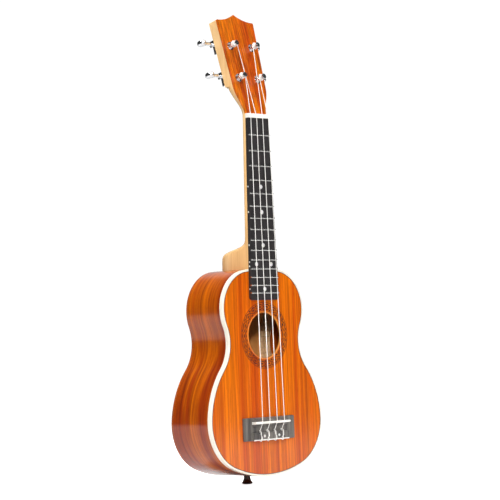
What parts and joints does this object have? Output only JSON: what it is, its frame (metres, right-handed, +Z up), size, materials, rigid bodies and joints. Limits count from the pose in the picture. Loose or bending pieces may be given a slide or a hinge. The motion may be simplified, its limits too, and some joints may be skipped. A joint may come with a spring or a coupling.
{
  "type": "soprano ukulele",
  "caption": "Small four-course wooden ukulele with a hollow figure-eight body, slim neck, tilted headstock, geared tuners and a tie bridge.",
  "frame": {"origin": "centre of the end pin's flat outer face, at the tail of the body", "axes": "+Z up the neck, -Y out of the soundboard towards the player's strumming hand, +X to the right seen from the strings"},
  "size_m": [0.1828, 0.0751, 0.5421],
  "materials": {
    "body_mahogany": "striped mahogany under clear gloss lacquer",
    "side_mahogany": "darker mahogany under clear gloss lacquer",
    "neck_wood": "pale straight-grained wood under clear gloss lacquer",
    "inner_wood": "bare pale wood",
    "fingerboard_wood": "dark dense wood, satin",
    "bridge_wood": "dark dense wood, satin",
    "binding_plastic": "polished cream white",
    "end_pin_plastic": "polished dark brown",
    "label_paper": "matt cream paper",
    "fret_wire": "polished nickel silver",
    "pearl": "polished pearl white",
    "bone_white": "polished bone white",
    "string_nylon": "smooth milky nylon",
    "chrome": "bright chrome plate",
    "button_chrome": "bright chrome plate",
    "gear_brass": "machined brass"
  },
  "bodies": {
    "root": {"soundboard": "body_mahogany", "back_plate": "body_mahogany", "rib_left": "side_mahogany", "rib_right": "side_mahogany", "soundboard_linings": "inner_wood", "back_linings": "inner_wood", "neck_block": "inner_wood", "tail_block": "inner_wood", "soundboard_braces": "inner_wood", "back_braces": "inner_wood", "bridge_plate": "inner_wood", "binding": "binding_plastic", "end_pin": "end_pin_plastic", "label": "label_paper", "neck": "neck_wood", "neck_dowels": "inner_wood", "headstock_veneer": "body_mahogany", "fingerboard": "fingerboard_wood", "frets": "fret_wire", "front_dots": "pearl", "side_dots": "pearl", "nut": "bone_white", "bridge": "bridge_wood", "saddle": "bone_white", "bridge_dots": "pearl", "tie_strip": "bone_white", "string_1": "string_nylon", "string_2": "string_nylon", "string_3": "string_nylon", "string_4": "string_nylon", "bushings": "chrome", "mounting_screws": "chrome", "tuner_plate_1": "chrome", "tuner_plate_2": "chrome", "tuner_plate_3": "chrome", "tuner_plate_4": "chrome"},
    "knob_1": {"worm_shaft_1": "chrome", "tuner_button_1": "button_chrome"},
    "post_1": {"tuner_post_1": "chrome", "tuner_gear_1": "gear_brass", "gear_screw_1": "chrome", "string_winding_1": "string_nylon"},
    "knob_2": {"worm_shaft_2": "chrome", "tuner_button_2": "button_chrome"},
    "post_2": {"tuner_post_2": "chrome", "tuner_gear_2": "gear_brass", "gear_screw_2": "chrome", "string_winding_2": "string_nylon"},
    "knob_3": {"worm_shaft_3": "chrome", "tuner_button_3": "button_chrome"},
    "post_3": {"tuner_post_3": "chrome", "tuner_gear_3": "gear_brass", "gear_screw_3": "chrome", "string_winding_3": "string_nylon"},
    "knob_4": {"worm_shaft_4": "chrome", "tuner_button_4": "button_chrome"},
    "post_4": {"tuner_post_4": "chrome", "tuner_gear_4": "gear_brass", "gear_screw_4": "chrome", "string_winding_4": "string_nylon"}
  },
  "joints": [
    {"name": "knob_turn_1", "type": "hinge", "parent": "root", "child": "knob_1", "pos_m": [-0.0157, -0.00717, 0.46892], "axis": [1, 0, 0], "continuous": true},
    {"name": "post_turn_1", "type": "hinge", "parent": "root", "child": "post_1", "pos_m": [-0.0157, -0.02602, 0.4654], "axis": [0, -0.969, 0.247], "continuous": true},
    {"name": "knob_turn_2", "type": "hinge", "parent": "root", "child": "knob_2", "pos_m": [-0.0172, 0.00244, 0.50662], "axis": [1, 0, 0], "continuous": true},
    {"name": "post_turn_2", "type": "hinge", "parent": "root", "child": "post_2", "pos_m": [-0.0172, -0.01641, 0.50309], "axis": [0, -0.969, 0.247], "continuous": true},
    {"name": "knob_turn_3", "type": "hinge", "parent": "root", "child": "knob_3", "pos_m": [0.0172, 0.00244, 0.50662], "axis": [1, 0, 0], "continuous": true},
    {"name": "post_turn_3", "type": "hinge", "parent": "root", "child": "post_3", "pos_m": [0.0172, -0.01641, 0.50309], "axis": [0, -0.969, 0.247], "continuous": true},
    {"name": "knob_turn_4", "type": "hinge", "parent": "root", "child": "knob_4", "pos_m": [0.0157, -0.00717, 0.46892], "axis": [1, 0, 0], "continuous": true},
    {"name": "post_turn_4", "type": "hinge", "parent": "root", "child": "post_4", "pos_m": [0.0157, -0.02602, 0.4654], "axis": [0, -0.969, 0.247], "continuous": true}
  ],
  "couplings": [
    {"joint": "post_turn_1", "follows": "knob_turn_1", "ratio": 0.066667},
    {"joint": "post_turn_2", "follows": "knob_turn_2", "ratio": 0.066667},
    {"joint": "post_turn_3", "follows": "knob_turn_3", "ratio": 0.066667},
    {"joint": "post_turn_4", "follows": "knob_turn_4", "ratio": 0.066667}
  ]
}
